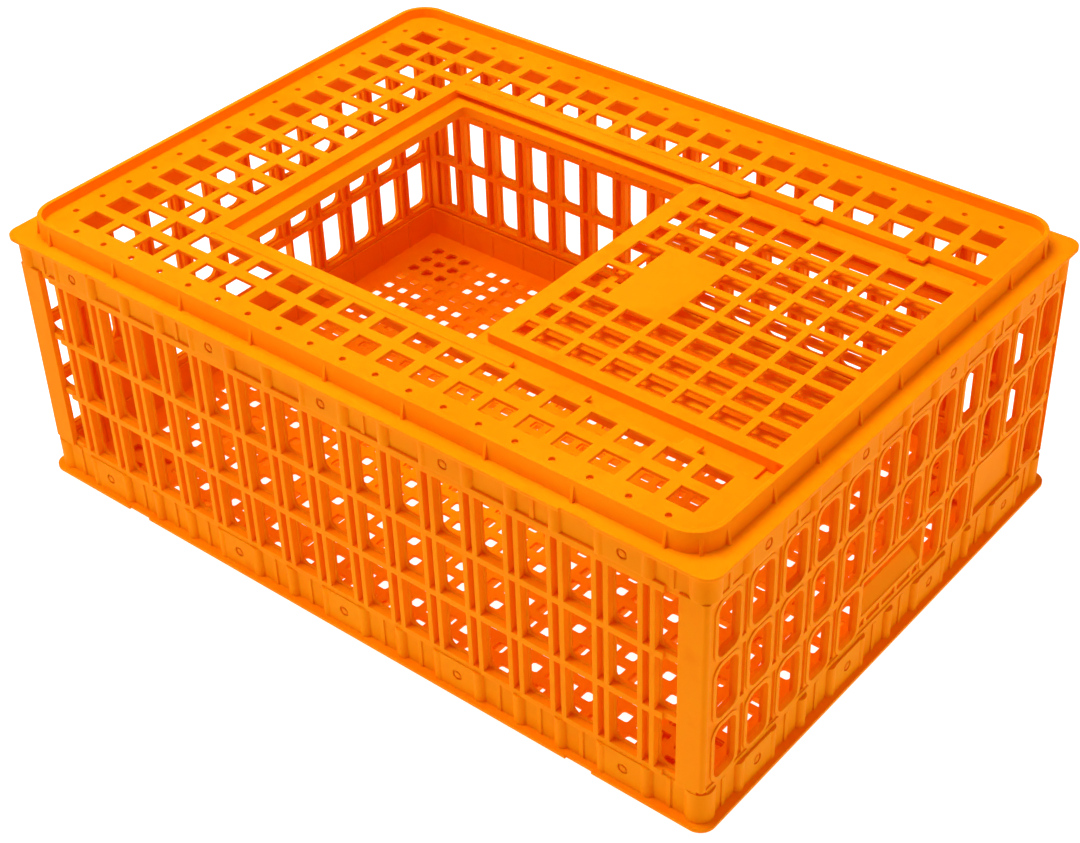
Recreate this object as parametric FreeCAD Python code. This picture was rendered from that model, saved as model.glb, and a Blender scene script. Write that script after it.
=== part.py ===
import FreeCAD, Part
import math
import os

# Poultry transport crate: a stackable slatted crate with a sliding hatch door in the lid.
# Millimetres, +Z up, origin under the middle of the crate.
# +X points along the long side to the end where the open door is parked.
# Heights are measured from the underside of the lower flange. The floor's ribs stand
# FOOT_DROP below it, and the finished shapes are lifted by that much to stand on the ground.
# Depths called "u" are measured inwards from the flange edge, square to a wall.

V = FreeCAD.Vector

# Overall size
LENGTH = 750.0
WIDTH = 540.0
HEIGHT = 274.0
FOOT_DROP = 6.0
HALF_L = LENGTH / 2.0
HALF_W = WIDTH / 2.0

# Flanges and skirts of the tray and of the lid frame
FLANGE_T = 3.0
FLANGE_R = 14.0
LID_FLANGE_TOP = 255.0
TRAY_SKIRT_TOP = 34.0
LID_SKIRT_BOTTOM = 226.0
SKIRT_FACE_U = 8.2
SKIRT_BACK_U = 10.0
SKIRT_INNER_R = 8.0
NOTCH_X = 254.0
NOTCH_W = 26.0
NOTCH_DEEP = 2.0

# Bays: half-round pilasters stand on every bay line
LONG_PITCH = 42.0
LONG_BAYS = 17
SHORT_PITCH = 42.9
SHORT_BAYS = 12
PILASTER_R = 6.5
PILASTER_U = 10.5
BOSS_R = 12.0
BOSS_U = 17.0
PAD_FACE_U = 5.0
LONG_PIN_BAYS = (2, 6, 9, 12, 16)
SHORT_PIN_BAYS = (2, 5, 8, 11)
LONG_RIB_BAYS = (1, 5, 10, 14, 17)
SHORT_RIB_BAYS = (1, 3, 10, 12)
LOW_RIB_W = 4.0
LOW_RIB_H = 1.2

# Snap joint between a wall panel and a skirt
POCKET_U = (6.7, 9.9)
POCKET_HALF = 13.6
TAB_U = (7.0, 9.6)
TAB_HALF = 13.2
GUIDE_U = (9.7, 11.8)
GUIDE_S = (8.0, 17.0)
TRAY_PIN_Z = 19.0
LID_PIN_Z = 237.0
TRAY_POCKET_Z = 9.0
LID_POCKET_Z = 247.0
TAB_GAP = 1.0
PAD_HOLE_R = 4.9
PIN_COLLAR_R = 4.6
PIN_COLLAR_U = (6.3, 6.7)
PIN_NOSE_R = 2.8
PIN_NOSE_U = 5.2
TAB_HOLE_R = 2.9
PIN_SHANK_R = 2.6
PIN_END_U = 9.5

# Inner coaming of tray and lid, a small ledge inside the wall panels
COAMING_U = (15.8, 18.3)
COAMING_R = 6.0
FIN_W = 4.0
FIN_OUT = 0.8
FIN_TOP = 31.0

# Floor of the tray: square holes in cells of three by three between the ribs
FLOOR_Z = (0.0, FLANGE_T)
FLOOR_COLS = 36
FLOOR_ROWS = 24
FLOOR_PITCH_X = 18.68
FLOOR_PITCH_Y = 19.6
FLOOR_HOLE = 11.0
FLOOR_HOLE_R = 2.5
CELL_HOLES = 3
RIB_T = 2.5
RIB_UNDER_COL = 2.2
RIB_UNDER_ROW = 0.8
RIB_BOTTOM = -FOOT_DROP
CORNER_PAD_T = 1.8
RIB_REACH_X = 350.0
RIB_REACH_Y = 248.0

# Stacking rim round the lid
RIM_HALF_X = 358.0
RIM_HALF_Y = 256.5
RIM_R = 28.0
RIM_T = 4.0
GUSSET_T = 2.5
GUSSET_OUT = 3.0
GUSSET_TOP = 270.0
GUSSET_PITCH_X = 81.4
GUSSET_PITCH_Y = 57.0
GUSSETS_EACH_WAY = 4

# Deck of the lid
DECK_Z = (261.0, 264.0)
DECK_PITCH_X = 34.88
DECK_PITCH_Y = 30.59
DECK_COLS = 19
DECK_ROWS = 15
DECK_HOLE_X = 25.0
DECK_HOLE_Y = 20.0
DECK_FULL_COLS = 3
DECK_FULL_ROWS = 2
VENT_R = 2.8
VENT_Y = 236.9
VENT_X = -341.0

# Hatch channel in the deck
CHANNEL_Y0 = -2.5
CHANNEL_HALF = 165.0
CHANNEL_LEFT = -218.0
CHANNEL_RIGHT = 350.0
CHANNEL_WALL = 3.0
LEDGE_Z = (252.0, 255.0)
LINING_BOTTOM = 245.5
LINING_T = 2.5
STRIP_REACH = 12.5
STRIP_END = 110.0
STRIP_R = 8.0
STRIP_GROOVE_W = 3.2
STRIP_GROOVE_DEEP = 0.8
TAB_REACH = 10.0
TAB_SPANS = ((168.0, 184.0), (272.0, 288.0))
HATCH_X = (-202.0, 56.0)
HATCH_HALF = 145.0
HATCH_R = 5.0
GRID_FIRST = (70.0, 88.0)
GRID_START = 95.0
GRID_PITCH = 34.0
GRID_HOLE_X = 27.0
GRID_COLS = 7
GRID_ROWS = 9
GRID_HOLE_Y = 22.0

# Sliding door, drawn in its open position
DOOR_X = (67.0, 347.0)
DOOR_TOP_END = 353.2
DOOR_FLANGE_END = 334.0
DOOR_FLANGE_HALF = 163.0
DOOR_FLANGE_Z = (255.4, 258.0)
DOOR_CHAMFER = 10.0
DOOR_PLATE_HALF = 142.5
DOOR_TOP_Z = (264.4, 267.0)
DOOR_WALL = 2.5
DOOR_R = 6.0
DOOR_NARROW = (84.8, 96.8)
DOOR_COL_START = 104.2
DOOR_COL_PITCH = 33.8
DOOR_HOLE_X = 26.7
DOOR_COLS = 7
DOOR_ROWS = 9
DOOR_ROW_Y0 = -4.5
DOOR_ROW_PITCH = 29.3
DOOR_HOLE_Y = 21.5
LABEL_COLS = 2
LABEL_ROWS = (3, 4, 5)
LABEL_HOLE_X = (84.8, 112.5)
LABEL_HOLE_Y = 37.0
LABEL_HOLE_GAP = 6.5

# Wall panels
PANEL_GAP = 0.3
PANEL_Z = (TRAY_SKIRT_TOP + PANEL_GAP, LID_SKIRT_BOTTOM - PANEL_GAP)
WINDOW_R = 8.0

# Long panels: a square grid of ribs on one face and rounded windows in a skin on the other.
# The front panel has its ribs outside, the back panel has them inside.
LONG_U = (6.0, 15.0)
LONG_SKIN_T = 2.5
LONG_ROWS = ((39.5, 94.0), (100.0, 154.5), (160.5, 219.0))
LONG_SKIN_ROWS = ((41.0, 93.0), (101.5, 153.5), (162.0, 217.5))
LONG_WINDOW = 26.5
LONG_SLOT = 6.5
LONG_RIB = 4.5
LONG_SKIN_WINDOW = 24.5
LONG_BAR_END = 330.0
LONG_TONGUE_END = 341.5
LONG_TONGUE_STEP = 3.0
LONG_HIDDEN_END = 357.5
LONG_END_WINDOW = (323.0, 337.5)
LONG_END_STRIP = 349.0
RIDGE_H = 1.0
RIDGE_W = 1.5
RIDGE_AT = 5.0

# Short panels: rounded windows with raised beads outside, a web, and straight ribs inside;
# corner posts, hand-hold and label plate
SHORT_FACE_U = 7.2
SHORT_BEAD = 1.2
SHORT_BEAD_W = 4.0
SHORT_WEB_U = (10.4, 11.8)
SHORT_BACK_U = 16.2
SHORT_ROWS = ((41.0, 93.0), (103.0, 155.0), (164.5, 216.5))
SHORT_WINDOW = 27.0
SHORT_SLOT = 5.3
SHORT_SLOT_EXTRA = 1.0
SHORT_CELL_SIDE = 2.3
SHORT_CELL_END = 1.5
SHORT_HALF = 260.05
RAIL_H = 4.5
POST_FACE_Y = 264.0
POST_FACE_X = 367.8
POST_EDGE_X = 343.0
POST_T = 3.0
POST_R = 4.0
POST_LIP_Y = 257.9
POST_FOOT_CUT = 3.2
GRIP_HALF = 45.5
GRIP_Z = (57.0, 93.0)
GRIP_INNER_Z = 72.0
GRIP_LIP_T = 3.0
POCKET_ROW_Z = (43.5, 53.5)
POCKET_ROW_W = (8.0, 20.0, 20.0, 20.0, 8.0)
POCKET_ROW_GAP = 3.75
PLATE_S = (136.7, 206.5)


def box(x0, x1, y0, y1, z0, z1):
    """Box between two corners."""
    return Part.makeBox(x1 - x0, y1 - y0, z1 - z0, V(x0, y0, z0))


def rounded(a0, a1, b0, b1, c, r=0.0, upright=False):
    """Closed rectangle with corner radius r: in a level plane z = c, or in an upright plane y = c."""
    def at(a, b):
        return V(a, c, b) if upright else V(a, b, c)

    if r <= 0.0:
        corners = [at(a0, b0), at(a1, b0), at(a1, b1), at(a0, b1), at(a0, b0)]
        return Part.makePolygon(corners)
    k = r * (1.0 - math.sqrt(0.5))
    edges = [
        Part.LineSegment(at(a0 + r, b0), at(a1 - r, b0)).toShape(),
        Part.Arc(at(a1 - r, b0), at(a1 - k, b0 + k), at(a1, b0 + r)).toShape(),
        Part.LineSegment(at(a1, b0 + r), at(a1, b1 - r)).toShape(),
        Part.Arc(at(a1, b1 - r), at(a1 - k, b1 - k), at(a1 - r, b1)).toShape(),
        Part.LineSegment(at(a1 - r, b1), at(a0 + r, b1)).toShape(),
        Part.Arc(at(a0 + r, b1), at(a0 + k, b1 - k), at(a0, b1 - r)).toShape(),
        Part.LineSegment(at(a0, b1 - r), at(a0, b0 + r)).toShape(),
        Part.Arc(at(a0, b0 + r), at(a0 + k, b0 + k), at(a0 + r, b0)).toShape(),
    ]
    return Part.Wire(edges)


def circle(x, y, z, r):
    """Level circle as a wire."""
    return Part.Wire([Part.makeCircle(r, V(x, y, z))])


def solid_of(outer, holes, direction):
    """Extrude a flat outline with holes."""
    face = Part.makeFace([outer] + holes, "Part::FaceMakerBullseye")
    return face.extrude(direction)


def fused(shapes):
    """One solid from overlapping or touching solids."""
    whole = shapes[0].fuse(shapes[1:])
    whole = whole.removeSplitter()
    if len(whole.Solids) != 1:
        raise ValueError("expected one solid, got %d" % len(whole.Solids))
    return whole.Solids[0]


def ring(half_x, half_y, r, inner_x, inner_y, inner_r, z0, z1):
    """Level ring between two rounded rectangles about the origin."""
    outer = rounded(-half_x, half_x, -half_y, half_y, z0, r)
    inner = rounded(-inner_x, inner_x, -inner_y, inner_y, z0, inner_r)
    return solid_of(outer, [inner], V(0, 0, z1 - z0))


def turned(shape, angle):
    """Turn a shape drawn at the front wall round to another wall."""
    copy = shape.copy()
    copy.rotate(V(0, 0, 0), V(0, 0, 1), angle)
    return copy


# The four walls as (turn angle, half depth, bay pitch, bay count, pin bays, low rib bays).
WALLS = {
    "front": (0.0, HALF_W, LONG_PITCH, LONG_BAYS, LONG_PIN_BAYS, LONG_RIB_BAYS),
    "right": (90.0, HALF_L, SHORT_PITCH, SHORT_BAYS, SHORT_PIN_BAYS, SHORT_RIB_BAYS),
    "back": (180.0, HALF_W, LONG_PITCH, LONG_BAYS, LONG_PIN_BAYS, LONG_RIB_BAYS),
    "left": (270.0, HALF_L, SHORT_PITCH, SHORT_BAYS, SHORT_PIN_BAYS, SHORT_RIB_BAYS),
}


def bay_centre(bay, pitch, bays):
    """Middle of a bay, counted from 1."""
    return (bay - 0.5 - bays / 2.0) * pitch


def skirt_side(name, z):
    """Edges of the skirt's outer face along one wall, between two corner bosses."""
    angle, half, pitch, bays, pin_bays, rib_bays = WALLS[name]
    other_half = HALF_W + HALF_L - half
    rise = BOSS_U - SKIRT_FACE_U
    end = other_half - BOSS_U - math.sqrt(BOSS_R ** 2 - rise ** 2)
    edges = []

    def level(bay):
        return PAD_FACE_U if bay in pin_bays else SKIRT_FACE_U

    def turn(s, u):
        p = V(s, -half + u, z)
        a = math.radians(angle)
        return V(p.x * math.cos(a) - p.y * math.sin(a), p.x * math.sin(a) + p.y * math.cos(a), z)

    first = turn(-end, SKIRT_FACE_U)
    last = first
    for line in range(1, bays):
        s = (line - bays / 2.0) * pitch
        u_left = level(line)
        u_right = level(line + 1)
        w_left = math.sqrt(PILASTER_R ** 2 - (PILASTER_U - u_left) ** 2)
        w_right = math.sqrt(PILASTER_R ** 2 - (PILASTER_U - u_right) ** 2)
        start = turn(s - w_left, u_left)
        crown = turn(s, PILASTER_U - PILASTER_R)
        stop = turn(s + w_right, u_right)
        edges.append(Part.LineSegment(last, start).toShape())
        edges.append(Part.Arc(start, crown, stop).toShape())
        last = stop
    finish = turn(end, SKIRT_FACE_U)
    edges.append(Part.LineSegment(last, finish).toShape())
    return edges, first, finish


def skirt(z0, z1):
    """Fluted skirt wall with pilasters, pads at the pin bays and round corner bosses."""
    edges = []
    names = ("front", "right", "back", "left")
    sides = [skirt_side(name, z0) for name in names]
    corners = [(1, -1), (1, 1), (-1, 1), (-1, -1)]
    for i in range(4):
        side_edges, first, finish = sides[i]
        edges.extend(side_edges)
        start_next = sides[(i + 1) % 4][1]
        sx, sy = corners[i]
        reach = BOSS_R * math.sqrt(0.5)
        crown = V(sx * (HALF_L - BOSS_U + reach), sy * (HALF_W - BOSS_U + reach), z0)
        edges.append(Part.Arc(finish, crown, start_next).toShape())
    outer = Part.Wire(edges)
    ix = HALF_L - SKIRT_BACK_U
    iy = HALF_W - SKIRT_BACK_U
    inner = rounded(-ix, ix, -iy, iy, z0, SKIRT_INNER_R)
    return solid_of(outer, [inner], V(0, 0, z1 - z0))


def low_ribs(z0, z1, all_bays):
    """Low vertical ribs on the skirt face, in some bays of the lid and in all plain bays of the tray."""
    parts = []
    for name in WALLS:
        angle, half, pitch, bays, pin_bays, rib_bays = WALLS[name]
        for bay in range(1, bays + 1):
            if bay in pin_bays:
                continue
            if not all_bays and bay not in rib_bays:
                continue
            s = bay_centre(bay, pitch, bays)
            y0 = -half + SKIRT_FACE_U - LOW_RIB_H
            y1 = -half + SKIRT_FACE_U + 0.5
            rib = box(s - LOW_RIB_W / 2, s + LOW_RIB_W / 2, y0, y1, z0, z1)
            parts.append(turned(rib, angle))
    return parts


def pin_places():
    """Every snap pin as (wall name, position along the wall)."""
    places = []
    for name in WALLS:
        angle, half, pitch, bays, pin_bays, rib_bays = WALLS[name]
        for bay in pin_bays:
            places.append((name, bay_centre(bay, pitch, bays)))
    return places


def pin_guides(z0, z1):
    """Pairs of strips behind the pin bays that keep the panel tabs in line."""
    parts = []
    for name, s in pin_places():
        angle, half = WALLS[name][:2]
        for side in (-1, 1):
            a = sorted((s + side * GUIDE_S[0], s + side * GUIDE_S[1]))
            strip = box(a[0], a[1], -half + GUIDE_U[0], -half + GUIDE_U[1], z0, z1)
            parts.append(turned(strip, angle))
    return parts


def pin_cutters(pin_z, pocket_z0, pocket_z1):
    """Pockets for the panel tabs and round holes for the pins."""
    parts = []
    for name, s in pin_places():
        angle, half = WALLS[name][:2]
        y0 = -half + POCKET_U[0]
        y1 = -half + POCKET_U[1]
        pocket = box(s - POCKET_HALF, s + POCKET_HALF, y0, y1, pocket_z0, pocket_z1)
        hole_start = V(s, -half + PAD_FACE_U - 1.0, pin_z)
        hole = Part.makeCylinder(PAD_HOLE_R, POCKET_U[0] - PAD_FACE_U + 1.5, hole_start, V(0, 1, 0))
        parts.append(turned(pocket, angle))
        parts.append(turned(hole, angle))
    return parts


def flange(z0, inner_x, inner_y, inner_r):
    """Flange ring with a shallow notch in each long edge near both ends."""
    body = ring(HALF_L, HALF_W, FLANGE_R, inner_x, inner_y, inner_r, z0, z0 + FLANGE_T)
    for sx in (-1, 1):
        for sy in (-1, 1):
            x0 = sx * NOTCH_X - NOTCH_W / 2
            x1 = sx * NOTCH_X + NOTCH_W / 2
            y_edge = sy * (HALF_W + 1.0)
            y_deep = sy * (HALF_W - NOTCH_DEEP)
            y0 = min(y_edge, y_deep)
            y1 = max(y_edge, y_deep)
            body = body.cut(box(x0, x1, y0, y1, z0 - 1.0, z0 + FLANGE_T + 1.0))
    return body


def floor_plate():
    """Perforated floor sheet."""
    ix = HALF_L - SKIRT_BACK_U + 0.5
    iy = HALF_W - SKIRT_BACK_U + 0.5
    outer = rounded(-ix, ix, -iy, iy, FLOOR_Z[0], SKIRT_INNER_R)
    holes = []
    h = FLOOR_HOLE / 2
    for i in range(FLOOR_COLS):
        x = (i - (FLOOR_COLS - 1) / 2.0) * FLOOR_PITCH_X
        for j in range(FLOOR_ROWS):
            y = (j - (FLOOR_ROWS - 1) / 2.0) * FLOOR_PITCH_Y
            holes.append(rounded(x - h, x + h, y - h, y + h, FLOOR_Z[0], FLOOR_HOLE_R))
    return solid_of(outer, holes, V(0, 0, FLOOR_Z[1] - FLOOR_Z[0]))


def floor_rib_lines():
    """Each rib between two cells lies partly under the edge of the next column or row of holes."""
    reach = RIB_T / 2 + FLOOR_HOLE / 2
    xs = []
    for i in range(CELL_HOLES, FLOOR_COLS, CELL_HOLES):
        hole_x = (i - (FLOOR_COLS - 1) / 2.0) * FLOOR_PITCH_X
        xs.append(hole_x - reach + RIB_UNDER_COL)
    ys = []
    for j in range(CELL_HOLES, FLOOR_ROWS, CELL_HOLES):
        hole_y = ((FLOOR_ROWS - 1) / 2.0 - j) * FLOOR_PITCH_Y
        ys.append(hole_y + reach - RIB_UNDER_ROW)
    return sorted(xs), sorted(ys)


def floor_ribs():
    """Stiffening ribs under the floor and a flat foot pad under each corner cell."""
    parts = []
    t = RIB_T / 2
    xs, ys = floor_rib_lines()
    for x in xs:
        parts.append(box(x - t, x + t, -RIB_REACH_Y, RIB_REACH_Y, RIB_BOTTOM, FLOOR_Z[0] + 0.5))
    for y in ys:
        parts.append(box(-RIB_REACH_X, RIB_REACH_X, y - t, y + t, RIB_BOTTOM, FLOOR_Z[0] + 0.5))
    for x0, x1 in ((-RIB_REACH_X, xs[0]), (xs[-1], RIB_REACH_X)):
        for y0, y1 in ((-RIB_REACH_Y, ys[0]), (ys[-1], RIB_REACH_Y)):
            pad = box(x0, x1, y0, y1, RIB_BOTTOM, RIB_BOTTOM + CORNER_PAD_T)
            parts.append(pad)
            parts.append(box(x0, x1, *outer_rib(y0, y1), RIB_BOTTOM, FLOOR_Z[0] + 0.5))
            parts.append(box(*outer_rib(x0, x1), y0, y1, RIB_BOTTOM, FLOOR_Z[0] + 0.5))
    return parts


def outer_rib(a, b):
    """Span of the rib that closes a corner pad on the side away from the middle of the floor."""
    return (a, a + RIB_T) if a + b < 0 else (b - RIB_T, b)


def coaming(z0, z1):
    """Inner upstand just inside the wall panels."""
    ox = HALF_L - COAMING_U[0]
    oy = HALF_W - COAMING_U[0]
    ix = HALF_L - COAMING_U[1]
    iy = HALF_W - COAMING_U[1]
    return ring(ox, oy, COAMING_R, ix, iy, COAMING_R - 2.5, z0, z1)


def fins():
    """Low upright fins on the inside of the tray, one on every bay line."""
    parts = []
    for name in WALLS:
        angle, half, pitch, bays, pin_bays, rib_bays = WALLS[name]
        y = -half + COAMING_U[1]
        for line in range(1, bays):
            s = (line - bays / 2.0) * pitch
            fin = box(s - FIN_W / 2, s + FIN_W / 2, y - 0.5, y + FIN_OUT, FLOOR_Z[0], FIN_TOP)
            parts.append(turned(fin, angle))
    return parts


def base_tray():
    """Bottom moulding."""
    ix = HALF_L - SKIRT_BACK_U
    iy = HALF_W - SKIRT_BACK_U
    foot = flange(0.0, ix, iy, SKIRT_INNER_R)
    wall = skirt(FLANGE_T, TRAY_SKIRT_TOP)
    parts = [foot, wall, coaming(FLOOR_Z[0], TRAY_SKIRT_TOP), floor_plate()]
    parts += low_ribs(FLANGE_T - 0.5, TRAY_SKIRT_TOP, True)
    parts += pin_guides(TRAY_POCKET_Z - 3.0, TRAY_SKIRT_TOP)
    parts += floor_ribs()
    parts += fins()
    body = fused(parts)
    body = body.cut(pin_cutters(TRAY_PIN_Z, TRAY_POCKET_Z, TRAY_SKIRT_TOP + 1.0))
    return body.Solids[0]


def gusset():
    """Small triangular gusset against the rim, drawn at the front wall at x = 0."""
    y_wall = -RIM_HALF_Y
    points = [
        V(-GUSSET_T / 2, y_wall - GUSSET_OUT, LID_FLANGE_TOP - 0.5),
        V(-GUSSET_T / 2, y_wall + 1.0, LID_FLANGE_TOP - 0.5),
        V(-GUSSET_T / 2, y_wall + 1.0, GUSSET_TOP),
        V(-GUSSET_T / 2, y_wall, GUSSET_TOP),
        V(-GUSSET_T / 2, y_wall - GUSSET_OUT, LID_FLANGE_TOP - 0.5),
    ]
    return Part.Face(Part.makePolygon(points)).extrude(V(GUSSET_T, 0, 0))


def gussets():
    """Gussets along the four sides of the rim and one at each corner."""
    parts = []
    shift_end = RIM_HALF_X - RIM_HALF_Y
    for k in range(-GUSSETS_EACH_WAY, GUSSETS_EACH_WAY + 1):
        for angle in (0.0, 180.0):
            piece = gusset()
            piece.translate(V(k * GUSSET_PITCH_X, 0, 0))
            parts.append(turned(piece, angle))
        for angle in (90.0, 270.0):
            piece = gusset()
            piece.translate(V(k * GUSSET_PITCH_Y, -shift_end, 0))
            parts.append(turned(piece, angle))
    for sx in (-1, 1):
        for sy in (-1, 1):
            piece = gusset()
            piece.translate(V(0, RIM_HALF_Y - RIM_R, 0))
            piece = turned(piece, 90.0 + math.degrees(math.atan2(sy, sx)))
            piece.translate(V(sx * (RIM_HALF_X - RIM_R), sy * (RIM_HALF_Y - RIM_R), 0))
            parts.append(piece)
    return parts


def channel_side(sign):
    """Corner points of the deck's channel edge on one side, from the left end to the right end."""
    wall = CHANNEL_Y0 + sign * CHANNEL_HALF
    strip = wall - sign * STRIP_REACH
    lug = wall - sign * TAB_REACH
    path = [("line", (CHANNEL_LEFT, strip)), ("line", (STRIP_END - STRIP_R, strip))]
    k = STRIP_R * math.sqrt(0.5)
    middle = (STRIP_END - STRIP_R + k, strip + sign * (STRIP_R - k))
    path.append(("arc", middle, (STRIP_END, strip + sign * STRIP_R)))
    path.append(("line", (STRIP_END, wall)))
    for x0, x1 in TAB_SPANS:
        path.append(("line", (x0, wall)))
        path.append(("line", (x0, lug)))
        path.append(("line", (x1, lug)))
        path.append(("line", (x1, wall)))
    path.append(("line", (CHANNEL_RIGHT, wall)))
    return path


def channel_wire(z):
    """Outline of the channel where it is open through the deck sheet."""
    lower = channel_side(-1)
    upper = channel_side(1)
    edges = []
    last = V(*lower[0][1], z)
    first = last
    for step in lower[1:]:
        if step[0] == "line":
            nxt = V(*step[1], z)
            edges.append(Part.LineSegment(last, nxt).toShape())
        else:
            nxt = V(*step[2], z)
            edges.append(Part.Arc(last, V(*step[1], z), nxt).toShape())
        last = nxt
    nxt = V(*upper[-1][1], z)
    edges.append(Part.LineSegment(last, nxt).toShape())
    last = nxt
    for index in range(len(upper) - 1, 0, -1):
        step = upper[index]
        before = upper[index - 1]
        target = before[1] if before[0] == "line" else before[2]
        nxt = V(*target, z)
        if step[0] == "line":
            edges.append(Part.LineSegment(last, nxt).toShape())
        else:
            edges.append(Part.Arc(last, V(*step[1], z), nxt).toShape())
        last = nxt
    edges.append(Part.LineSegment(last, first).toShape())
    return Part.Wire(edges)


def deck_sheet():
    """Perforated deck with the channel cut out of it."""
    ox = RIM_HALF_X - RIM_T + 1.0
    oy = RIM_HALF_Y - RIM_T + 1.0
    z = DECK_Z[0]
    outer = rounded(-ox, ox, -oy, oy, z, RIM_R - RIM_T + 1.0)
    holes = [channel_wire(z)]
    for i in range(DECK_COLS):
        x = (i - (DECK_COLS - 1) / 2.0) * DECK_PITCH_X
        for j in range(DECK_ROWS):
            y = (j - (DECK_ROWS - 1) / 2.0) * DECK_PITCH_Y
            edge_row = j < DECK_FULL_ROWS or j >= DECK_ROWS - DECK_FULL_ROWS
            if i >= DECK_FULL_COLS and not edge_row:
                continue
            hx = DECK_HOLE_X / 2
            hy = DECK_HOLE_Y / 2
            holes.append(rounded(x - hx, x + hx, y - hy, y + hy, z))
        holes.append(circle(x, VENT_Y, z, VENT_R))
        holes.append(circle(x, -VENT_Y, z, VENT_R))
    for j in range(DECK_ROWS):
        y = (j - (DECK_ROWS - 1) / 2.0) * DECK_PITCH_Y
        holes.append(circle(VENT_X, y, z, VENT_R))
    return solid_of(outer, holes, V(0, 0, DECK_Z[1] - DECK_Z[0]))


def channel_floor():
    """Ledge round the hatch and fixed grid under the parked door."""
    z = LEDGE_Z[0]
    y0 = CHANNEL_Y0 - CHANNEL_HALF - CHANNEL_WALL
    y1 = CHANNEL_Y0 + CHANNEL_HALF + CHANNEL_WALL
    outer = rounded(CHANNEL_LEFT - CHANNEL_WALL, CHANNEL_RIGHT + CHANNEL_WALL, y0, y1, z)
    hatch_y0 = CHANNEL_Y0 - HATCH_HALF
    hatch_y1 = CHANNEL_Y0 + HATCH_HALF
    holes = [rounded(HATCH_X[0], HATCH_X[1], hatch_y0, hatch_y1, z, HATCH_R)]
    spans = [GRID_FIRST]
    for i in range(GRID_COLS):
        x0 = GRID_START + i * GRID_PITCH
        spans.append((x0, x0 + GRID_HOLE_X))
    for x0, x1 in spans:
        for j in range(GRID_ROWS):
            y = CHANNEL_Y0 + (j - (GRID_ROWS - 1) / 2.0) * DECK_PITCH_Y
            holes.append(rounded(x0, x1, y - GRID_HOLE_Y / 2, y + GRID_HOLE_Y / 2, z))
    return solid_of(outer, holes, V(0, 0, LEDGE_Z[1] - LEDGE_Z[0]))


def channel_walls():
    """Upright walls between the ledge and the deck."""
    x0 = CHANNEL_LEFT
    x1 = CHANNEL_RIGHT
    y0 = CHANNEL_Y0 - CHANNEL_HALF
    y1 = CHANNEL_Y0 + CHANNEL_HALF
    t = CHANNEL_WALL
    z0 = LEDGE_Z[0]
    z1 = DECK_Z[1]
    outer = rounded(x0 - t, x1 + t, y0 - t, y1 + t, z0)
    inner = rounded(x0, x1, y0, y1, z0)
    return solid_of(outer, [inner], V(0, 0, z1 - z0))


def hatch_lining():
    """Short lining that hangs below the ledge round the hatch."""
    y0 = CHANNEL_Y0 - HATCH_HALF
    y1 = CHANNEL_Y0 + HATCH_HALF
    t = LINING_T
    z = LINING_BOTTOM
    outer = rounded(HATCH_X[0] - t, HATCH_X[1] + t, y0 - t, y1 + t, z, HATCH_R + t)
    inner = rounded(HATCH_X[0], HATCH_X[1], y0, y1, z, HATCH_R)
    return solid_of(outer, [inner], V(0, 0, LEDGE_Z[0] + 0.5 - z))


def strip_grooves():
    """Shallow grooves in the deck where the retaining strips join it, cut from above."""
    parts = []
    w = STRIP_GROOVE_W
    z0 = DECK_Z[1] - STRIP_GROOVE_DEEP
    for sign in (-1, 1):
        y = CHANNEL_Y0 + sign * (CHANNEL_HALF + CHANNEL_WALL / 2)
        parts.append(box(CHANNEL_LEFT, STRIP_END, y - w / 2, y + w / 2, z0, DECK_Z[1] + 1.0))
    return parts


def top_frame():
    """Lid moulding."""
    ix = RIM_HALF_X - RIM_T
    iy = RIM_HALF_Y - RIM_T
    ir = RIM_R - RIM_T
    flange_z = LID_FLANGE_TOP - FLANGE_T
    plate = flange(flange_z, ix, iy, ir)
    rim = ring(RIM_HALF_X, RIM_HALF_Y, RIM_R, ix, iy, ir, flange_z, HEIGHT)
    wall = skirt(LID_SKIRT_BOTTOM, flange_z)
    parts = [plate, rim, wall, coaming(LID_SKIRT_BOTTOM, flange_z + 1.0)]
    parts += [deck_sheet(), channel_floor(), channel_walls(), hatch_lining()]
    parts += low_ribs(LID_SKIRT_BOTTOM, flange_z + 0.5, False)
    parts += pin_guides(LID_SKIRT_BOTTOM, flange_z + 0.5)
    parts += gussets()
    body = fused(parts)
    body = body.cut(pin_cutters(LID_PIN_Z, LID_SKIRT_BOTTOM - 1.0, LID_POCKET_Z) + strip_grooves())
    return body.Solids[0]


def panel_tabs(name):
    """Tabs with pin holes at the top and bottom of a panel, drawn at the front wall."""
    angle, half, pitch, bays, pin_bays, rib_bays = WALLS[name]
    y0 = -half + TAB_U[0]
    y1 = -half + TAB_U[1]
    low = TRAY_POCKET_Z + TAB_GAP
    high = LID_POCKET_Z - TAB_GAP
    tabs = []
    holes = []
    for bay in pin_bays:
        s = bay_centre(bay, pitch, bays)
        tabs.append(box(s - TAB_HALF, s + TAB_HALF, y0, y1, low, PANEL_Z[0] + 2.0))
        tabs.append(box(s - TAB_HALF, s + TAB_HALF, y0, y1, PANEL_Z[1] - 2.0, high))
        for z in (TRAY_PIN_Z, LID_PIN_Z):
            start = V(s, y0 - 1.0, z)
            holes.append(Part.makeCylinder(TAB_HOLE_R, y1 - y0 + 2.0, start, V(0, 1, 0)))
    return tabs, holes


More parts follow.
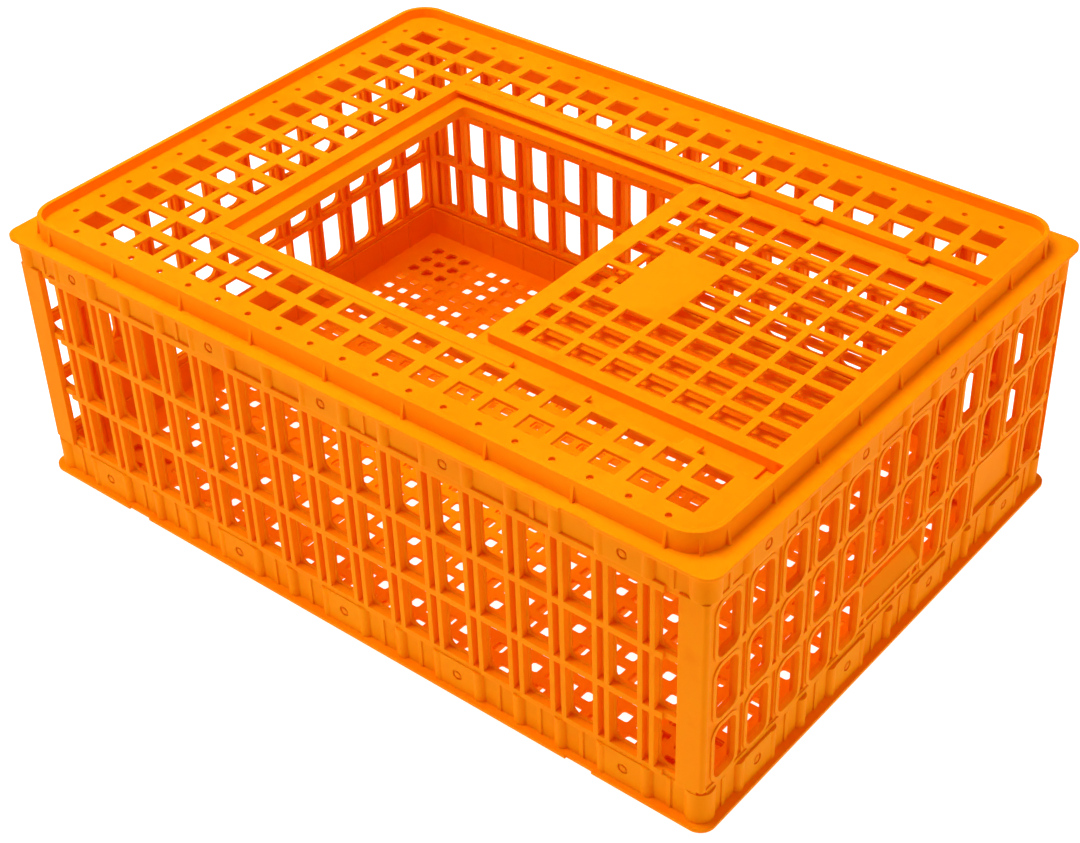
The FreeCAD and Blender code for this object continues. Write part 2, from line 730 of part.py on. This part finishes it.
def ridges():
    """Thin upright ridges on the plain face of the front panel, two on every bay line."""
    parts = []
    y0 = -HALF_W + LONG_U[1] - 0.5
    y1 = -HALF_W + LONG_U[1] + RIDGE_H
    for line in range(1, LONG_BAYS):
        for side in (-1, 1):
            s = (line - LONG_BAYS / 2.0) * LONG_PITCH + side * RIDGE_AT
            parts.append(box(s - RIDGE_W / 2, s + RIDGE_W / 2, y0, y1, *PANEL_Z))
    return parts


def long_bars():
    """Levels of the four bars that cross a long panel."""
    z0, z1 = PANEL_Z
    levels = [z0] + [z for row in LONG_ROWS for z in row] + [z1]
    return [(levels[i], levels[i + 1]) for i in range(0, len(levels), 2)]


def rib_grid(y0, y1):
    """Square grid of upright rib pairs and level bars, without the two end bays."""
    z0, z1 = PANEL_Z
    edge = (LONG_BAYS / 2.0 - 1.0) * LONG_PITCH + LONG_SLOT / 2 + LONG_RIB
    holes = []
    for r0, r1 in LONG_ROWS:
        for bay in range(2, LONG_BAYS):
            s = bay_centre(bay, LONG_PITCH, LONG_BAYS)
            w = LONG_WINDOW / 2
            holes.append(rounded(s - w, s + w, r0, r1, y0, 0.0, True))
        for line in range(1, LONG_BAYS):
            s = (line - LONG_BAYS / 2.0) * LONG_PITCH
            w = LONG_SLOT / 2
            holes.append(rounded(s - w, s + w, r0, r1, y0, 0.0, True))
    return solid_of(rounded(-edge, edge, z0, z1, y0, 0.0, True), holes, V(0, y1 - y0, 0))


def both_ends(x0, x1, y0, y1, z0, z1):
    """The same box at the right and at the left end of a long panel."""
    return [box(x0, x1, y0, y1, z0, z1), box(-x1, -x0, y0, y1, z0, z1)]


def long_panel_front():
    """Front wall panel: ribs outside, skin with rounded windows inside."""
    z0, z1 = PANEL_Z
    y_rib = -HALF_W + LONG_U[0]
    y_back = -HALF_W + LONG_U[1]
    y_skin = y_back - LONG_SKIN_T
    w = LONG_SKIN_WINDOW / 2
    holes = []
    for k0, k1 in LONG_SKIN_ROWS:
        for bay in range(1, LONG_BAYS + 1):
            s = bay_centre(bay, LONG_PITCH, LONG_BAYS)
            holes.append(rounded(s - w, s + w, k0, k1, y_skin, WINDOW_R, True))
    skin_outer = rounded(-LONG_HIDDEN_END, LONG_HIDDEN_END, z0, z1, y_skin, 0.0, True)
    parts = [rib_grid(y_rib, y_skin), solid_of(skin_outer, holes, V(0, LONG_SKIN_T, 0))]
    bar_start = (LONG_BAYS / 2.0 - 1.0) * LONG_PITCH
    for b0, b1 in long_bars():
        parts += both_ends(bar_start, LONG_BAR_END, y_rib, y_skin, b0, b1)
        parts += both_ends(LONG_BAR_END - 1.0, LONG_TONGUE_END, y_rib + LONG_TONGUE_STEP, y_skin, b0, b1)
    tabs, pin_holes = panel_tabs("front")
    parts += tabs
    parts += ridges()
    body = fused(parts)
    return body.cut(pin_holes).Solids[0]


def long_panel_back():
    """Back wall panel, drawn at the front wall: skin outside, ribs inside."""
    z0, z1 = PANEL_Z
    y_skin = -HALF_W + LONG_U[0]
    y_rib = y_skin + LONG_SKIN_T
    y_back = -HALF_W + LONG_U[1]
    y_hidden = y_back - LONG_SKIN_T
    holes = []
    w = LONG_SKIN_WINDOW / 2
    e0, e1 = LONG_END_WINDOW
    for k0, k1 in LONG_SKIN_ROWS:
        for bay in range(2, LONG_BAYS):
            s = bay_centre(bay, LONG_PITCH, LONG_BAYS)
            holes.append(rounded(s - w, s + w, k0, k1, y_skin, WINDOW_R, True))
        holes.append(rounded(e0, e1, k0, k1, y_skin, 0.0, True))
        holes.append(rounded(-e1, -e0, k0, k1, y_skin, 0.0, True))
    outer = rounded(-LONG_TONGUE_END, LONG_TONGUE_END, z0, z1, y_skin, 0.0, True)
    parts = [solid_of(outer, holes, V(0, LONG_SKIN_T, 0)), rib_grid(y_rib, y_back)]
    bar_start = (LONG_BAYS / 2.0 - 1.0) * LONG_PITCH
    for b0, b1 in long_bars():
        parts += both_ends(bar_start, LONG_TONGUE_END, y_rib, y_back, b0, b1)
        parts += both_ends(LONG_TONGUE_END - 1.0, LONG_HIDDEN_END, y_hidden, y_back, b0, b1)
    parts += both_ends(LONG_END_STRIP, LONG_HIDDEN_END, y_hidden, y_back, z0, z1)
    tabs, pin_holes = panel_tabs("front")
    parts += tabs
    body = fused(parts)
    return body.cut(pin_holes).Solids[0]


def corner_post(side):
    """L-shaped post that wraps round one end of a short panel, drawn at the front wall."""
    z0, z1 = PANEL_Z
    y_face = -POST_FACE_X
    y_edge = -POST_EDGE_X
    y_in = -HALF_L + SHORT_BACK_U
    s = POST_FACE_Y
    t = POST_T
    k = POST_R * (1.0 - math.sqrt(0.5))

    def at(a, b):
        return V(side * a, b, z0)

    inner_s = SHORT_HALF - 0.5
    start = at(inner_s, y_face)
    bend = at(s - POST_R, y_face)
    edges = [Part.LineSegment(start, bend).toShape()]
    edges.append(Part.Arc(bend, at(s - k, y_face + k), at(s, y_face + POST_R)).toShape())
    rest = [at(s, y_face + POST_R), at(s, y_edge), at(POST_LIP_Y, y_edge)]
    rest += [at(POST_LIP_Y, y_edge - t), at(s - t, y_edge - t)]
    rest += [at(s - t, y_in), at(inner_s, y_in), start]
    for a, b in zip(rest[:-1], rest[1:]):
        edges.append(Part.LineSegment(a, b).toShape())
    return Part.Face(Part.Wire(edges)).extrude(V(0, 0, z1 - z0))


def post_foot_cut(side):
    """Removes the foot of the post's outer edge, so that it ends just above the tray's corner boss."""
    x0, x1 = sorted((side * (POST_FACE_Y - POST_R - 2.0), side * (POST_FACE_Y + 1.0)))
    y0 = -POST_FACE_X - 1.0
    return box(x0, x1, y0, y0 + 3.0 + POST_R, PANEL_Z[0] - 1.0, PANEL_Z[0] + POST_FOOT_CUT)


def short_openings():
    """Windows and slots of the short panel as (s0, s1, z0, z1) lists."""
    windows = []
    slots = []
    grip_clear = GRIP_HALF + 2.0
    for row in range(len(SHORT_ROWS)):
        z0, z1 = SHORT_ROWS[row]
        for bay in range(1, SHORT_BAYS + 1):
            s = bay_centre(bay, SHORT_PITCH, SHORT_BAYS)
            if row == 0 and (abs(s) < grip_clear or PLATE_S[0] < s < PLATE_S[1]):
                continue
            windows.append((s - SHORT_WINDOW / 2, s + SHORT_WINDOW / 2, z0, z1))
        for line in range(0, SHORT_BAYS + 1):
            s = (line - SHORT_BAYS / 2.0) * SHORT_PITCH
            if row == 0 and (abs(s) < grip_clear or PLATE_S[0] < s < PLATE_S[1]):
                continue
            w = SHORT_SLOT / 2
            slots.append((s - w, s + w, z0 - SHORT_SLOT_EXTRA, z1 + SHORT_SLOT_EXTRA))
    return windows, slots


def bead(s0, s1, z0, z1, r, y, depth):
    """Raised rim round an opening."""
    w = SHORT_BEAD_W
    outer = rounded(s0 - w, s1 + w, z0 - w, z1 + w, y, r + w, True)
    inner = rounded(s0, s1, z0, z1, y, r, True)
    return solid_of(outer, [inner], V(0, depth, 0))


def grip_pockets():
    """Small pockets in the band under the hand-hold as (s0, s1) pairs."""
    total = sum(POCKET_ROW_W) + POCKET_ROW_GAP * (len(POCKET_ROW_W) - 1)
    s = -total / 2.0
    spans = []
    for width in POCKET_ROW_W:
        spans.append((s, s + width))
        s += width + POCKET_ROW_GAP
    return spans


def grip_lip():
    """Sloping lip at the foot of the hand-hold."""
    y_front = -HALF_L + SHORT_FACE_U + SHORT_BEAD
    y_back = -HALF_L + SHORT_BACK_U
    points = [
        V(-GRIP_HALF - 0.5, y_front, GRIP_Z[0] - GRIP_LIP_T),
        V(-GRIP_HALF - 0.5, y_front, GRIP_Z[0] + 0.2),
        V(-GRIP_HALF - 0.5, y_back, GRIP_INNER_Z + 0.2),
        V(-GRIP_HALF - 0.5, y_back, GRIP_INNER_Z - GRIP_LIP_T),
        V(-GRIP_HALF - 0.5, y_front, GRIP_Z[0] - GRIP_LIP_T),
    ]
    return Part.Face(Part.makePolygon(points)).extrude(V(2 * GRIP_HALF + 1.0, 0, 0))


def short_layer(u0, u1, holes):
    """One layer of the short panel between two depths."""
    y0 = -HALF_L + u0
    wires = [rounded(a0, a1, b0, b1, y0, r, True) for a0, a1, b0, b1, r in holes]
    outline = rounded(-SHORT_HALF, SHORT_HALF, *PANEL_Z, y0, 0.0, True)
    return solid_of(outline, wires, V(0, u1 - u0, 0))


def short_panel():
    """Short wall panel, drawn at the front wall."""
    z0, z1 = PANEL_Z
    y_face = -HALF_L + SHORT_FACE_U
    y_main = y_face + SHORT_BEAD
    windows, slots = short_openings()
    grip = (-GRIP_HALF, GRIP_HALF, *GRIP_Z, 0.0)
    plate = (*PLATE_S, *SHORT_ROWS[0], 0.0)
    window_holes = [(*w, WINDOW_R) for w in windows]
    slot_holes = [(*w, 0.0) for w in slots]
    pocket_holes = [(a0, a1, *POCKET_ROW_Z, 0.0) for a0, a1 in grip_pockets()]
    c = SHORT_CELL_SIDE
    e = SHORT_CELL_END
    cells = [(a0 - c, a1 + c, b0 - e, b1 + e, 0.0) for a0, a1, b0, b1 in windows]
    grooves = [(a0, a1, b0, b1, 0.0) for a0, a1, b0, b1 in slots if max(abs(a0), abs(a1)) < SHORT_HALF - 1.0]
    web0, web1 = SHORT_WEB_U
    face_holes = window_holes + slot_holes + pocket_holes + [grip, plate]
    parts = [
        short_layer(SHORT_FACE_U + SHORT_BEAD, web0, face_holes),
        short_layer(web0, web1, window_holes + [grip, plate]),
        short_layer(web1, SHORT_BACK_U, cells + grooves + [grip]),
    ]
    for a0, a1, b0, b1 in windows:
        parts.append(bead(a0, a1, b0, b1, WINDOW_R, y_face, SHORT_BEAD + 0.2))
    parts.append(bead(-GRIP_HALF, GRIP_HALF, *GRIP_Z, 0.5, y_face, SHORT_BEAD + 0.2))
    parts.append(bead(*PLATE_S, *SHORT_ROWS[0], 0.5, y_face, SHORT_BEAD + 0.2))
    parts.append(box(-SHORT_HALF, SHORT_HALF, y_face, y_main + 0.2, z0, z0 + RAIL_H))
    parts.append(box(-SHORT_HALF, SHORT_HALF, y_face, y_main + 0.2, z1 - RAIL_H, z1))
    parts.append(grip_lip())
    parts.append(corner_post(1))
    parts.append(corner_post(-1))
    tabs, holes = panel_tabs("right")
    parts += tabs
    body = fused(parts)
    return body.cut(holes + [post_foot_cut(1), post_foot_cut(-1)]).Solids[0]


def sliding_door():
    """Hatch door in its open position."""
    x0, x1 = DOOR_X
    y0 = CHANNEL_Y0 - DOOR_PLATE_HALF
    y1 = CHANNEL_Y0 + DOOR_PLATE_HALF
    t = DOOR_WALL
    z_low = DOOR_FLANGE_Z[0]
    z_top = DOOR_TOP_Z[1]
    f0 = CHANNEL_Y0 - DOOR_FLANGE_HALF
    f1 = CHANNEL_Y0 + DOOR_FLANGE_HALF
    c = DOOR_CHAMFER
    outline = [
        V(x0, f0 + c, z_low), V(x0 + c, f0, z_low), V(DOOR_FLANGE_END, f0, z_low),
        V(DOOR_FLANGE_END, f1, z_low), V(x0 + c, f1, z_low), V(x0, f1 - c, z_low), V(x0, f0 + c, z_low),
    ]
    inside = rounded(x0 + t, DOOR_FLANGE_END - t, y0 + t, y1 - t, z_low)
    brim = solid_of(Part.makePolygon(outline), [inside], V(0, 0, DOOR_FLANGE_Z[1] - z_low))
    wall_outer = rounded(x0, x1, y0, y1, z_low, DOOR_R)
    wall_inner = rounded(x0 + t, x1 - t, y0 + t, y1 - t, z_low, DOOR_R - t)
    wall = solid_of(wall_outer, [wall_inner], V(0, 0, z_top - z_low))
    z = DOOR_TOP_Z[0]
    holes = []
    for j in range(DOOR_ROWS):
        y = DOOR_ROW_Y0 + (j - (DOOR_ROWS - 1) / 2.0) * DOOR_ROW_PITCH
        b0 = y - DOOR_HOLE_Y / 2
        b1 = y + DOOR_HOLE_Y / 2
        if j not in LABEL_ROWS:
            holes.append(rounded(*DOOR_NARROW, b0, b1, z))
        for i in range(DOOR_COLS):
            if j in LABEL_ROWS and i < LABEL_COLS:
                continue
            a0 = DOOR_COL_START + i * DOOR_COL_PITCH
            holes.append(rounded(a0, a0 + DOOR_HOLE_X, b0, b1, z))
    g = LABEL_HOLE_GAP / 2
    h = LABEL_HOLE_Y
    holes.append(rounded(*LABEL_HOLE_X, DOOR_ROW_Y0 - g - h, DOOR_ROW_Y0 - g, z))
    holes.append(rounded(*LABEL_HOLE_X, DOOR_ROW_Y0 + g, DOOR_ROW_Y0 + g + h, z))
    top = solid_of(rounded(x0 + 1, x1 - 1, y0 + 1, y1 - 1, z, DOOR_R - 1), holes, V(0, 0, z_top - z))
    overhang = box(x1 - DOOR_R, DOOR_TOP_END, y0, y1, z, z_top)
    return fused([brim, wall, top, overhang])


def pins(name, z):
    """One row of snap pins as separate solids."""
    angle, half, pitch, bays, pin_bays, rib_bays = WALLS[name]
    solids = []
    for bay in pin_bays:
        s = bay_centre(bay, pitch, bays)
        nose_at = V(s, -half + PIN_NOSE_U, z)
        nose = Part.makeCylinder(PIN_NOSE_R, PIN_COLLAR_U[1] - PIN_NOSE_U, nose_at, V(0, 1, 0))
        collar_at = V(s, -half + PIN_COLLAR_U[0], z)
        collar = Part.makeCylinder(PIN_COLLAR_R, PIN_COLLAR_U[1] - PIN_COLLAR_U[0], collar_at, V(0, 1, 0))
        shank = Part.makeCylinder(PIN_SHANK_R, PIN_END_U - PIN_COLLAR_U[0], collar_at, V(0, 1, 0))
        solids.append(turned(fused([nose, collar, shank]), angle))
    return Part.makeCompound(solids)


def build():
    """Every sub-part by node name."""
    short_wall = short_panel()
    nodes = {
        "base_tray": base_tray(),
        "top_frame": top_frame(),
        "side_panel_front": long_panel_front(),
        "side_panel_back": turned(long_panel_back(), 180.0),
        "end_panel_right": turned(short_wall, 90.0),
        "end_panel_left": turned(short_wall, 270.0),
        "sliding_door": sliding_door(),
    }
    for name in WALLS:
        nodes["pins_%s_top" % name] = pins(name, LID_PIN_Z)
        nodes["pins_%s_base" % name] = pins(name, TRAY_PIN_Z)
    for shape in nodes.values():
        shape.translate(V(0, 0, FOOT_DROP))
    return nodes


os.makedirs("parts", exist_ok=True)
for node, shape in build().items():
    if not shape.isValid():
        raise ValueError("%s is not a valid shape" % node)
    shape.exportStep("parts/%s.step" % node)
    bb = shape.BoundBox
    print("%-20s %8.1f %8.1f  %8.1f %8.1f  %8.1f %8.1f  %10.0f mm3" % (
        node, bb.XMin, bb.XMax, bb.YMin, bb.YMax, bb.ZMin, bb.ZMax, shape.Volume))
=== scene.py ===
import math

import bpy
from mathutils import Matrix, Vector


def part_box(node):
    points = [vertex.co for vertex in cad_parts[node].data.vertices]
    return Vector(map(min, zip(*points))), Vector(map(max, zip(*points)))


# Looks of the poultry transport crate: moulded polyethylene, satin, with handling wear, paler
# edges that are part rubbed wear and part painted highlight, and a painted red glow.
# Metres, in the shared frame: +X along the long side, +Z up, origin under the middle.

# Camera: its place and the point it looks at, with heights from the top of the lid's rim,
# its roll, its focal length in picture widths, and the nearest thing it shows
CAMERA_AT = Vector((0.950, -1.125, 0.901))
CAMERA_LOOKS_AT = Vector((0.0633, -0.0761, -0.1399))
CAMERA_ROLL = math.radians(-1.93)
FOCAL_IN_WIDTHS = 1.87963
SENSOR_MM = 36.0
CAMERA_CLIP = 0.05

# Area lights: name, place, point aimed at, side of the square, watts
LIGHTS = (
    ("key", (-0.3, -0.25, 2.3), (0.0, 0.0, 0.1), 1.2, 57.0),
    ("front_fill", (-1.9, -2.0, 0.9), (0.0, -0.2, 0.12), 0.8, 16.5),
    ("end_fill", (2.3, 1.1, 0.8), (0.3, 0.0, 0.12), 0.8, 13.0),
)
WORLD_COLOUR = (1.0, 1.0, 1.0, 1.0)
WORLD_STRENGTH = 0.22

# Floor: half its side, two pale greys, and a glow that keeps it near white
FLOOR_HALF = 14.0
FLOOR_COLOUR = (0.38, 0.38, 0.38, 1.0)
FLOOR_PALE = (0.42, 0.42, 0.42, 1.0)
FLOOR_ROUGHNESS = 0.9
FLOOR_SPECULAR = 0.1
FLOOR_GLOW = 0.95

# Plastic colours, linear
CRATE_COLOUR = (0.87, 0.235, 0.0005, 1.0)
CRATE_PALE = (0.89, 0.262, 0.0015, 1.0)
CRATE_DEEP = (0.85, 0.20, 0.0003, 1.0)
SCUFF_COLOUR = (0.96, 0.33, 0.012, 1.0)
# Paler edge colour: part rubbed wear, part painted highlight along the edges
EDGE_RUB_AND_HIGHLIGHT_COLOUR = (0.95, 0.30, 0.004, 1.0)
SPECULAR_TINT = (1.0, 0.45, 0.06, 1.0)
# Painted glow: red emission that brightens the shaded parts
PAINTED_GLOW_COLOUR = (1.0, 0.05, 0.0, 1.0)

# How the plastic takes light: sheen, and light that soaks in and comes out nearby; and a painted
# glow, a constant warm-red emission that lifts the shade as if thin walls were lit from behind
SATIN_ROUGHNESS = (0.40, 0.58)
SPECULAR_LEVEL = 0.02
PLASTIC_IOR = 1.5
SOAK_IN = 0.35
SOAK_RADIUS = (0.006, 0.0012, 0.0002)
PAINTED_GLOW_STRENGTH = 0.085

# Edges: how far they are rounded, how finely that is sampled, and how far the surface has to
# turn before it takes the paler edge colour, part rubbed wear and part painted highlight (cosines,
# none to full)
EDGE_R = 0.0011
EDGE_SAMPLES = 6
EDGE_LIMITS = (0.995, 0.88)

# Noises: scale per metre, detail, roughness
CLOUD_NOISE = (7.0, 3.0, 0.55)
BLOTCH_NOISE = (31.0, 4.0, 0.6)
SCRATCH_NOISE = (1.0, 2.0, 0.5)
PATCH_NOISE = (5.0, 2.0, 0.5)
EDGE_BREAKUP_NOISE = (60.0, 3.0, 0.6)
GLOSS_NOISE = (46.0, 3.0, 0.6)
GRAIN_NOISE = (900.0, 2.0, 0.5)
SINK_NOISE = (24.0, 2.0, 0.5)
FLOOR_NOISE = (3.0, 2.0, 0.5)

# Where each noise starts to count and where it counts in full
CLOUD_LIMITS = (0.38, 0.66)
BLOTCH_LIMITS = (0.56, 0.80)
SCRATCH_LIMITS = (0.66, 0.74)
PATCH_LIMITS = (0.5, 0.7)
EDGE_BREAKUP_LIMITS = (0.30, 0.62)

# Scratches: noise drawn out along one direction and turned, and how much of them shows
SCRATCH_STRETCH = (18.0, 420.0, 60.0)
SCRATCH_TURN = (0.3, 0.2, 0.7)
SCUFF_STRENGTH = 0.35

# Relief of the moulded skin: strength and height of its grain and of its sink marks
GRAIN_RELIEF = (0.06, 0.0003)
SINK_RELIEF = (0.25, 0.0012)

# Shifts of the noises, so that the three plastics don't share one pattern
CRATE_SEED = 0.0
DOOR_SEED = 1.3
PIN_SEED = 2.1


def node(tree, kind, **values):
    """A new shader node, with sockets or properties set by name."""
    made = tree.nodes.new(kind)
    for name, value in values.items():
        if name in made.inputs:
            made.inputs[name].default_value = value
        else:
            setattr(made, name, value)
    return made


def noise(tree, vector, recipe, shift=0.0):
    """Noise over a vector, from its scale, detail and roughness."""
    scale, detail, rough = recipe
    made = node(tree, "ShaderNodeTexNoise", Scale=scale + shift, Detail=detail, Roughness=rough)
    tree.links.new(vector, made.inputs["Vector"])
    return made.outputs["Fac"]


def ramp(tree, source, limits, results=(0.0, 1.0)):
    """Maps a value between two limits to a value between two results."""
    made = node(tree, "ShaderNodeMapRange")
    made.inputs["From Min"].default_value = limits[0]
    made.inputs["From Max"].default_value = limits[1]
    made.inputs["To Min"].default_value = results[0]
    made.inputs["To Max"].default_value = results[1]
    made.clamp = True
    tree.links.new(source, made.inputs["Value"])
    return made.outputs["Result"]


def multiply(tree, a, b):
    """Product of a value and a second value or a constant."""
    made = node(tree, "ShaderNodeMath", operation="MULTIPLY")
    tree.links.new(a, made.inputs[0])
    if isinstance(b, float):
        made.inputs[1].default_value = b
    else:
        tree.links.new(b, made.inputs[1])
    return made.outputs[0]


def mix(tree, factor, a, b):
    """Mixes two colours, each a socket or a constant."""
    made = node(tree, "ShaderNodeMix", data_type="RGBA")
    tree.links.new(factor, made.inputs["Factor"])
    for value, socket in ((a, made.inputs[6]), (b, made.inputs[7])):
        if isinstance(value, tuple):
            socket.default_value = value
        else:
            tree.links.new(value, socket)
    return made.outputs[2]


def bump(tree, height, normal, relief):
    """Relief laid over a normal, from its strength and its height."""
    made = node(tree, "ShaderNodeBump", Strength=relief[0], Distance=relief[1])
    tree.links.new(height, made.inputs["Height"])
    tree.links.new(normal, made.inputs["Normal"])
    return made.outputs["Normal"]


def pigment(tree, coords, base, pale, deep, seed):
    """Cloudy pigment with deeper blotches."""
    cloud_mask = ramp(tree, noise(tree, coords, CLOUD_NOISE, seed), CLOUD_LIMITS)
    colour = mix(tree, cloud_mask, base, pale)
    blotch_mask = ramp(tree, noise(tree, coords, BLOTCH_NOISE, seed), BLOTCH_LIMITS)
    return mix(tree, blotch_mask, colour, deep)


def scuffs(tree, coords, seed):
    """Mask of fine scratches gathered in patches."""
    turn_x, turn_y, turn_z = SCRATCH_TURN
    stretch = node(tree, "ShaderNodeMapping")
    stretch.inputs["Scale"].default_value = SCRATCH_STRETCH
    stretch.inputs["Rotation"].default_value = (turn_x, turn_y, turn_z + seed)
    tree.links.new(coords, stretch.inputs["Vector"])
    scratch = noise(tree, stretch.outputs["Vector"], SCRATCH_NOISE)
    scratch_mask = ramp(tree, scratch, SCRATCH_LIMITS)
    patch_mask = ramp(tree, noise(tree, coords, PATCH_NOISE), PATCH_LIMITS)
    return multiply(tree, multiply(tree, scratch_mask, patch_mask), SCUFF_STRENGTH)


def edge_rub_and_highlight(tree, coords, rounded):
    """Mask of paler edges, part rubbed wear and part painted highlight: where the rounded normal
    leaves the flat one, broken up by noise.
    """
    flat = node(tree, "ShaderNodeNewGeometry")
    bend = node(tree, "ShaderNodeVectorMath", operation="DOT_PRODUCT")
    tree.links.new(rounded, bend.inputs[0])
    tree.links.new(flat.outputs["Normal"], bend.inputs[1])
    edge_mask = ramp(tree, bend.outputs["Value"], EDGE_LIMITS)
    edge_breakup_mask = ramp(tree, noise(tree, coords, EDGE_BREAKUP_NOISE), EDGE_BREAKUP_LIMITS)
    return multiply(tree, edge_mask, edge_breakup_mask)


def plastic(name, base, pale, deep, seed):
    """Injection-moulded polyethylene: cloudy pigment, scuffs, paler edges (part rubbing, part
    painted highlight), pebbled satin skin, and a painted red glow.
    """
    material = bpy.data.materials.new(name)
    material.use_nodes = True
    tree = material.node_tree
    tree.nodes.clear()
    out = node(tree, "ShaderNodeOutputMaterial")
    shader = node(tree, "ShaderNodeBsdfPrincipled")
    tree.links.new(shader.outputs["BSDF"], out.inputs["Surface"])
    coords = node(tree, "ShaderNodeTexCoord").outputs["Object"]
    rounded = node(tree, "ShaderNodeBevel", samples=EDGE_SAMPLES, Radius=EDGE_R).outputs["Normal"]

    colour = pigment(tree, coords, base, pale, deep, seed)
    colour = mix(tree, scuffs(tree, coords, seed), colour, SCUFF_COLOUR)
    # Paler edges: part rubbed wear, part painted highlight along every edge
    colour = mix(tree, edge_rub_and_highlight(tree, coords, rounded), colour, EDGE_RUB_AND_HIGHLIGHT_COLOUR)
    tree.links.new(colour, shader.inputs["Base Color"])

    gloss = ramp(tree, noise(tree, coords, GLOSS_NOISE), (0.0, 1.0), SATIN_ROUGHNESS)
    tree.links.new(gloss, shader.inputs["Roughness"])

    grained = bump(tree, noise(tree, coords, GRAIN_NOISE), rounded, GRAIN_RELIEF)
    skin = bump(tree, noise(tree, coords, SINK_NOISE), grained, SINK_RELIEF)
    tree.links.new(skin, shader.inputs["Normal"])

    shader.inputs["Specular IOR Level"].default_value = SPECULAR_LEVEL
    shader.inputs["Specular Tint"].default_value = SPECULAR_TINT
    shader.inputs["IOR"].default_value = PLASTIC_IOR
    shader.inputs["Subsurface Weight"].default_value = SOAK_IN
    shader.inputs["Subsurface Radius"].default_value = SOAK_RADIUS
    shader.inputs["Subsurface Scale"].default_value = 1.0
    # Painted glow: constant red emission that lifts the shade
    shader.inputs["Emission Color"].default_value = PAINTED_GLOW_COLOUR
    shader.inputs["Emission Strength"].default_value = PAINTED_GLOW_STRENGTH
    return material


def floor_paint():
    """Matt pale floor paint, slightly uneven."""
    material = bpy.data.materials.new("floor_paint")
    material.use_nodes = True
    tree = material.node_tree
    shader = tree.nodes["Principled BSDF"]
    coords = node(tree, "ShaderNodeTexCoord").outputs["Object"]
    colour = mix(tree, noise(tree, coords, FLOOR_NOISE), FLOOR_COLOUR, FLOOR_PALE)
    tree.links.new(colour, shader.inputs["Base Color"])
    shader.inputs["Roughness"].default_value = FLOOR_ROUGHNESS
    shader.inputs["Specular IOR Level"].default_value = FLOOR_SPECULAR
    shader.inputs["Emission Color"].default_value = WORLD_COLOUR
    shader.inputs["Emission Strength"].default_value = FLOOR_GLOW
    return material


def studio_floor():
    """Plain pale floor under the crate."""
    a = FLOOR_HALF
    corners = [(-a, -a, 0), (a, -a, 0), (a, a, 0), (-a, a, 0)]
    mesh = bpy.data.meshes.new("floor")
    mesh.from_pydata(corners, [], [(0, 1, 2, 3)])
    mesh.materials.append(floor_paint())
    floor = bpy.data.objects.new("floor", mesh)
    bpy.context.scene.collection.objects.link(floor)


def area_light(name, place, target, side, power):
    """Soft square light aimed at a point."""
    data = bpy.data.lights.new(name, "AREA")
    data.shape = "SQUARE"
    data.size = side
    data.energy = power
    light = bpy.data.objects.new(name, data)
    light.location = place
    light.rotation_euler = (Vector(target) - Vector(place)).to_track_quat("-Z", "Y").to_euler()
    bpy.context.scene.collection.objects.link(light)


def studio_lights():
    """White surroundings, a soft key from above and a fill from the side of each visible wall."""
    world = bpy.data.worlds.new("studio")
    bpy.context.scene.world = world
    world.use_nodes = True
    background = world.node_tree.nodes["Background"]
    background.inputs["Color"].default_value = WORLD_COLOUR
    background.inputs["Strength"].default_value = WORLD_STRENGTH
    for light in LIGHTS:
        area_light(*light)


def set_camera():
    """Camera at the viewing angle, with its roll."""
    data = bpy.data.cameras.new("camera")
    data.sensor_fit = "HORIZONTAL"
    data.sensor_width = SENSOR_MM
    data.lens = FOCAL_IN_WIDTHS * SENSOR_MM
    data.clip_start = CAMERA_CLIP
    camera = bpy.data.objects.new("camera", data)
    bpy.context.scene.collection.objects.link(camera)
    place = CAMERA_AT + Vector((0, 0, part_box("top_frame")[1].z))
    forward = (CAMERA_LOOKS_AT - CAMERA_AT).normalized()
    right = forward.cross(Vector((0, 0, 1))).normalized()
    up = right.cross(forward)
    rolled_right = math.cos(CAMERA_ROLL) * right + math.sin(CAMERA_ROLL) * up
    rolled_up = -math.sin(CAMERA_ROLL) * right + math.cos(CAMERA_ROLL) * up
    turn = Matrix((rolled_right, rolled_up, -forward)).transposed()
    camera.matrix_world = Matrix.Translation(place) @ turn.to_4x4()
    bpy.context.scene.camera = camera


def dress(name, material):
    """Give a CAD node its material."""
    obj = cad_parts[name]
    obj.data.materials.clear()
    obj.data.materials.append(material)


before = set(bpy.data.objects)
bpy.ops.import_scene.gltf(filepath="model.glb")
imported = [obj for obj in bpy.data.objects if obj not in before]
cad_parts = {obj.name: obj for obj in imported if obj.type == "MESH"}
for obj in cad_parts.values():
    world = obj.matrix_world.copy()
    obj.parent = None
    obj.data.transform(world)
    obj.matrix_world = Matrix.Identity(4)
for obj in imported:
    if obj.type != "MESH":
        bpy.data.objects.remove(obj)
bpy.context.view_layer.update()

crate_plastic = plastic("crate_plastic", CRATE_COLOUR, CRATE_PALE, CRATE_DEEP, CRATE_SEED)
door_plastic = plastic("door_plastic", CRATE_COLOUR, CRATE_PALE, CRATE_DEEP, DOOR_SEED)
pin_plastic = plastic("pin_plastic", CRATE_DEEP, CRATE_COLOUR, CRATE_DEEP, PIN_SEED)

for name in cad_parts:
    if name == "sliding_door":
        dress(name, door_plastic)
    elif name.startswith("pins_"):
        dress(name, pin_plastic)
    else:
        dress(name, crate_plastic)

studio_floor()
studio_lights()
set_camera()
bpy.context.scene.view_settings.view_transform = "Standard"
